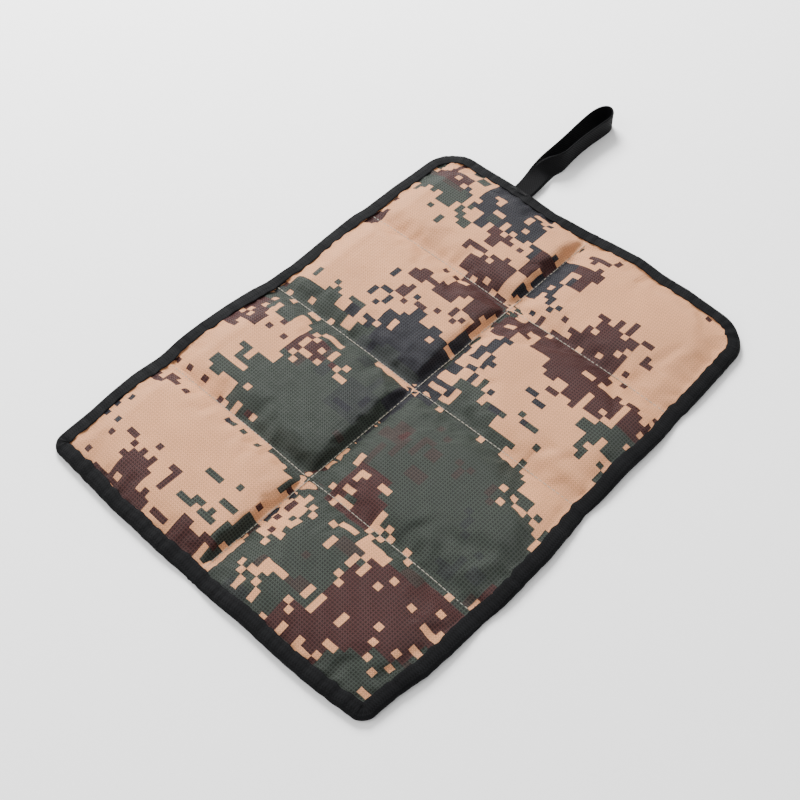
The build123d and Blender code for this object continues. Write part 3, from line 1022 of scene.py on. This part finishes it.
class SITMAT_OT_edge_binding(bpy.types.Operator):
    """Make the tape folded over the mat's edge, with its puckers and pinched seam ends"""

    bl_idname = "sit_mat.edge_binding"
    bl_label = "Edge binding"

    def execute(self, context):
        material = binding_tape()
        stations, line = edge_route(1.2 * MM)
        away = outward(line)
        cut = (SEAMS[1] + SEAMS[2]) / 2
        edges = {"front": (-1, -cut), "middle": (-cut, cut), "rear": (cut, 1)}
        for column, side in (("left", -1), ("right", 1)):
            for stretch in STRETCHES:
                low, high = edges[stretch[0]]
                keep = (line[:, 0] * side >= 0) & (line[:, 1] >= low) & (line[:, 1] <= high)
                chosen = np.flatnonzero(keep)
                if column == "left" and stretch[0] == "front":
                    chosen = chosen[chosen > len(line) // 2]
                if column == "right" and stretch[0] == "front":
                    chosen = chosen[chosen < len(line) // 2]
                self.length(column, stretch, stations, line, away, chosen, material)
        return {"FINISHED"}

    def length(self, column, stretch, stations, line, away, chosen, material):
        rings, plans = [], []
        spots, outs, runs = line[chosen], away[chosen], stations[chosen]
        heights = edge_height(spots[:, 0], spots[:, 1])
        for spot, out, run, height in zip(spots, outs, runs, heights):
            ripple = noise.noise(Vector((run / (6 * MM), 1.0, 0)))
            pucker = noise.noise(Vector((run / (2.6 * MM), 7.0, 0)))
            drift = noise.noise(Vector((run / (30 * MM), 2.0, 0)))
            width = sizes().tape_width + 1.3 * MM * drift + 0.8 * MM * ripple
            section = tape_section(height + 0.45 * MM * ripple, width, 0.75 * MM)
            section[:len(TAPE_CREASE), 1] += (0.55 * pucker + 0.45 * ripple) * MM * TAPE_CREASE
            pinch = 0.8 * MM * math.exp(-((self.seam_end(spot) / (11 * MM)) ** 2))
            inset = pinch + 0.7 * MM * drift + 0.35 * MM * ripple
            place = spot[None] - out[None] * (section[:, :1] + inset)
            place = np.stack(stray(place[:, 0], place[:, 1]), axis=1)
            rings.append(np.concatenate([place, section[:, 1:]], axis=1))
            around = np.linspace(0, 2 * width, len(section))
            plans.append([(run, across, 0) for across in around])
        if abs(spots[0][0]) < 1e-9:
            rings, plans = self.round_spine(rings, plans, column)
        if abs(spots[-1][0]) < 1e-9:
            rings, plans = self.round_spine(rings[::-1], plans[::-1], column)
            rings, plans = rings[::-1], plans[::-1]
        made = swept_piece(f"binding_{column}_{stretch[0]}", rings, plans, material, 60)
        follow_fold(made)
        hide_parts(*[f"edge_binding_{column}_{row}" for row in stretch[5]])

    def round_spine(self, rings, plans, column):
        """The tape's first ring carried a quarter turn round the lengthwise fold's axis."""
        side = -1 if column == "left" else 1
        turned = []
        for angle in (85, 64, 43, 22):
            turn = math.radians(angle)
            ring = rings[0].copy()
            rise = ring[:, 2] - SPINE_AXIS_Z
            ring[:, 0] = -side * rise * math.sin(turn)
            ring[:, 2] = np.maximum(SPINE_AXIS_Z + rise * math.cos(turn), 0.02 * MM)
            turned.append(ring)
        return [*turned, *rings], [*[plans[0]] * 4, *plans]

    def seam_end(self, spot):
        """How far a point on the edge is from the nearest seam's end."""
        if abs(abs(spot[1]) - HALF_LENGTH) < 1 * MM:
            return abs(spot[0])
        return float(seam_distance(np.array(spot[1])))


# ---------------------------------------------------------------- threads

def stitched_line(name, points, radius, stitch, material):
    """A row of stitches along a line, each dipping into the cloth at its ends."""
    points = np.asarray(points, float)
    lengths = np.concatenate([[0], np.cumsum(np.linalg.norm(np.diff(points, axis=0), axis=1))])
    count = max(2, int(round(lengths[-1] / stitch)))
    stations = np.linspace(0, lengths[-1], count * 6 + 1)
    line = np.stack([np.interp(stations, lengths, points[:, k]) for k in range(3)], axis=1)
    tangent = np.gradient(line, axis=0)
    tangent /= np.linalg.norm(tangent, axis=1, keepdims=True)
    side = np.cross(tangent, np.array([0, 0, 1.0]))
    side /= np.linalg.norm(side, axis=1, keepdims=True)
    up = np.cross(side, tangent)
    rings, plans = [], []
    for k, run in enumerate(stations):
        swell = abs(math.sin(math.pi * k / 6)) ** 0.6
        size = radius * (0.45 + 0.55 * swell)
        centre = line[k] - up[k] * radius * 2.2 * (1 - swell)
        turns = np.linspace(0, 2 * math.pi, 9)[:-1]
        rings.append([centre + size * (side[k] * math.cos(t) + up[k] * math.sin(t)) for t in turns])
        plans.append([(run, t, 0) for t in turns])
    return swept_piece(name, rings, plans, material, 80)


class SITMAT_OT_stitches(bpy.types.Operator):
    """Sew the lengthwise seam and the cross seams"""

    bl_idname = "sit_mat.stitches"
    bl_label = "Stitches"

    radius = 0.27 * MM
    pitch = 3.4 * MM

    def execute(self, context):
        material = sewing_thread("seam_thread", colours().thread)
        for column, side in (("left", -1), ("right", 1)):
            for stretch in STRETCHES:
                self.cross_seam(column, side, stretch, material)
        for stretch, low, high in zip(STRETCHES, CUTS, CUTS[1:]):
            self.lengthwise_seam(stretch, low, high, material)
        return {"FINISHED"}

    def cross_seam(self, column, side, stretch, material):
        inner = 3 * MM
        x = side * np.linspace(inner, HALF_WIDTH - sizes().tape_width + 1 * MM, 60)
        y = stretch[3] + 0.35 * MM * wander(x, np.zeros_like(x), 25 * MM, stretch[1] + 0.5 * side)
        z = top_height(x, np.full_like(x, stretch[3])) + self.radius * 0.8
        points = np.stack([x, y, z], axis=1)
        made = stitched_line(f"cross_thread_{column}_{stretch[1]}", points, self.radius, self.pitch, material)
        follow_fold(made)
        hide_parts(f"cross_stitch_{column}_{stretch[1]}")

    def lengthwise_seam(self, stretch, low, high, material):
        margin = sizes().tape_width - 1 * MM
        start = max(-HALF_LENGTH + low * STEP_Y, -HALF_LENGTH + margin)
        end = min(-HALF_LENGTH + high * STEP_Y, HALF_LENGTH - margin)
        y = np.linspace(start, end, 60)
        x = 0.6 * MM + 0.3 * MM * wander(y, np.zeros_like(y), 30 * MM, 9.0)
        z = top_height(np.zeros_like(y), y) + self.radius * 0.6
        made = stitched_line(f"lengthwise_thread_{stretch[0]}", np.stack([x, y, z], axis=1),
                             self.radius, self.pitch, material)
        follow_fold(made)
        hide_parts(*[f"lengthwise_stitch_{row}" for row in stretch[5]])


# ---------------------------------------------------------------- loop

# The strap's middle line from the sewn ends out along the right leg, round the tip and back:
# across, out from the mat's edge, height, and the turn of its width from flat to upright.
STRAP_ROUTE = (
    (2.8, -9.5, 1.3, 0), (2.8, -3, 1.6, 0), (3.0, 4, 2.4, -2), (2.6, 13, 3.8, -8), (2.2, 22, 6.0, -26),
    (3.2, 30, 7.6, -52), (6.8, 38, 8.2, -74), (7.4, 45, 8.2, -84), (6.0, 60, 8.2, -88), (5.8, 76, 8.2, -90),
    (6.6, 90, 8.2, -90), (7.2, 102, 8.2, -90), (5.0, 107.6, 8.2, -88), (0.4, 111.0, 8.2, -84),
    (-3.8, 108.6, 7.9, -76), (-5.8, 100, 7.7, -67), (-5.2, 84, 7.6, -65), (-3.4, 64, 7.6, -66),
    (-1.9, 46, 7.7, -64), (-0.4, 33, 7.8, -46), (1.2, 22, 7.0, -26), (2.2, 13, 5.2, -8), (2.8, 4, 3.9, -2),
    (2.8, -3, 3.1, 0), (2.8, -9.5, 2.9, 0),
)


def strap_section(half_width, half_thick):
    """The webbing's section, a little thicker at its woven edges."""
    return [
        (-1.0 * half_width, 0.0), (-0.97 * half_width, 0.8 * half_thick),
        (-0.88 * half_width, 1.15 * half_thick), (-0.74 * half_width, 0.9 * half_thick),
        (0.0, 0.9 * half_thick), (0.74 * half_width, 0.9 * half_thick),
        (0.88 * half_width, 1.15 * half_thick), (0.97 * half_width, 0.8 * half_thick),
        (1.0 * half_width, 0.0), (0.97 * half_width, -0.8 * half_thick),
        (0.88 * half_width, -1.15 * half_thick), (0.74 * half_width, -0.9 * half_thick),
        (0.0, -0.9 * half_thick), (-0.74 * half_width, -0.9 * half_thick),
        (-0.88 * half_width, -1.15 * half_thick), (-0.97 * half_width, -0.8 * half_thick),
    ]


class SITMAT_OT_loop(bpy.types.Operator):
    """Make the webbing loop and the bar tack that holds it"""

    bl_idname = "sit_mat.loop"
    bl_label = "Loop"

    def execute(self, context):
        self.strap()
        self.bar_tack()
        return {"FINISHED"}

    def strap(self):
        route = smooth_line(STRAP_ROUTE)
        route[:, :3] *= MM
        line = route[:, :3] + np.array([LOOP_X, HALF_LENGTH, 0])
        tangent = np.gradient(line, axis=0)
        tangent /= np.linalg.norm(tangent, axis=1, keepdims=True)
        section = strap_section(sizes().strap_width / 2, 0.6 * MM)
        run = 0.0
        rings, plans = [], []
        for k, spot in enumerate(line):
            turn = math.radians(route[k, 3])
            across = np.array([math.cos(turn), 0, math.sin(turn)])
            across -= tangent[k] * (across @ tangent[k])
            across /= np.linalg.norm(across)
            face = np.cross(across, tangent[k])
            run += np.linalg.norm(spot - line[k - 1]) if k else 0.0
            rings.append([spot + across * a + face * b for a, b in section])
            plans.append([(run, a, 0) for a, b in section])
        made = swept_piece("loop_webbing", rings, plans, strap_webbing(), 70)
        points = np.empty(len(made.data.vertices) * 3, np.float32)
        made.data.vertices.foreach_get("co", points)
        points = points.reshape(-1, 3)
        points[:, 2] = np.maximum(points[:, 2], 0.3 * MM)
        made.data.vertices.foreach_set("co", points.ravel())
        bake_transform(made)
        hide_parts("loop_strap", "loop_tab")

    def bar_tack(self):
        """A dense zigzag of black thread across the binding over the strap's ends."""
        turns = 26
        half = 7 * MM
        x = LOOP_X + 2.5 * MM + np.linspace(-half, half, turns)
        y = HALF_LENGTH - 5 * MM + 1.2 * MM * np.where(np.arange(turns) % 2, 1, -1)
        z = np.full(turns, 0.0) + edge_height(x, np.full(turns, HALF_LENGTH)) + 0.75 * MM
        points = np.stack([x, y, z], axis=1)
        material = sewing_thread("bar_tack_thread", [2 * value for value in colours().tape])
        made = stitched_line("loop_bar_tack", points, 0.3 * MM, 2.6 * MM, material)
        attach(made, "left_4")
        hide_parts("loop_bartack")


# ---------------------------------------------------------------- stage

class SITMAT_OT_stage(bpy.types.Operator):
    """Make the pale floor, the soft lights and the camera"""

    bl_idname = "sit_mat.stage"
    bl_label = "Stage"

    def execute(self, context):
        self.floor()
        self.lights()
        self.camera()
        return {"FINISHED"}

    def floor(self):
        n = Nodes("pale_floor")
        coordinates = n.tree.nodes.new("ShaderNodeTexCoord")
        grain_and_weave_shade = n.noise(coordinates.outputs["Object"], 60.0)
        colour = n.tint((0.97, 0.97, 0.97), n.spread(grain_and_weave_shade, 0.99, 1.01))
        material = n.finish(colour, 0.8, Specular_IOR_Level=0.2)
        half = 3.0
        corners = [(-half, -half, 0), (half, -half, 0), (half, half, 0), (-half, half, 0)]
        floor = make_object("floor", corners, [(0, 1, 2, 3)], material)

    def lights(self):
        world = bpy.data.worlds.new("studio")
        bpy.context.scene.world = world
        world.use_nodes = True
        background = world.node_tree.nodes["Background"]
        background.inputs["Color"].default_value = (1, 1, 1, 1)
        background.inputs["Strength"].default_value = 0.9
        for name, place, size, power in (
            ("key_light", (-1.2, 0.75, 1.05), 0.7, 86),
            ("fill_light", (-0.9, -1.3, 1.2), 1.4, 20),
        ):
            data = bpy.data.lights.new(name, "AREA")
            data.size = size
            data.energy = power
            light = bpy.data.objects.new(name, data)
            light.location = place
            light.rotation_euler = (-Vector(place)).to_track_quat("-Z", "Y").to_euler()
            bpy.context.scene.collection.objects.link(light)

    def camera(self):
        length = 2 * HALF_LENGTH
        target = Vector((-0.0044, -0.0318, 0)) * length
        azimuth, elevation, distance = math.radians(-46.75), math.radians(52.80), 1.9985 * length
        direction = Vector((math.cos(elevation) * math.cos(azimuth),
                            math.cos(elevation) * math.sin(azimuth), math.sin(elevation)))
        data = bpy.data.cameras.new("camera")
        data.sensor_width = 36
        data.lens = 53.14
        camera = bpy.data.objects.new("camera", data)
        camera.location = target + direction * distance
        camera.rotation_euler = (-direction).to_track_quat("-Z", "Y").to_euler()
        bpy.context.scene.collection.objects.link(camera)
        bpy.context.scene.camera = camera


class SITMAT_PT_panel(bpy.types.Panel):
    """The sit mat's pieces, sizes and colours"""

    bl_idname = "SITMAT_PT_panel"
    bl_label = "Sit mat"
    bl_space_type = "VIEW_3D"
    bl_region_type = "UI"
    bl_category = "Sit mat"

    def draw(self, context):
        for group in (context.scene.sit_mat_sizes, context.scene.sit_mat_colours):
            for name in group.bl_rna.properties.keys():
                if name not in ("rna_type", "name"):
                    self.layout.prop(group, name)
        for piece in OPERATORS:
            self.layout.operator(piece.bl_idname)


OPERATORS = (
    SITMAT_OT_covers,
    SITMAT_OT_foam_pads,
    SITMAT_OT_edge_binding,
    SITMAT_OT_stitches,
    SITMAT_OT_loop,
    SITMAT_OT_stage,
)
CLASSES = (SitMatSizes, SitMatColours, *OPERATORS, SITMAT_PT_panel)


def register():
    for cls in CLASSES:
        bpy.utils.register_class(cls)
    bpy.types.Scene.sit_mat_sizes = bpy.props.PointerProperty(type=SitMatSizes)
    bpy.types.Scene.sit_mat_colours = bpy.props.PointerProperty(type=SitMatColours)


def unregister():
    del bpy.types.Scene.sit_mat_colours
    del bpy.types.Scene.sit_mat_sizes
    for cls in reversed(CLASSES):
        bpy.utils.unregister_class(cls)


def main():
    register()
    bpy.ops.sit_mat.covers()
    bpy.ops.sit_mat.foam_pads()
    bpy.ops.sit_mat.edge_binding()
    bpy.ops.sit_mat.stitches()
    bpy.ops.sit_mat.loop()
    bpy.ops.sit_mat.stage()


if __name__ == "__main__":
    main()
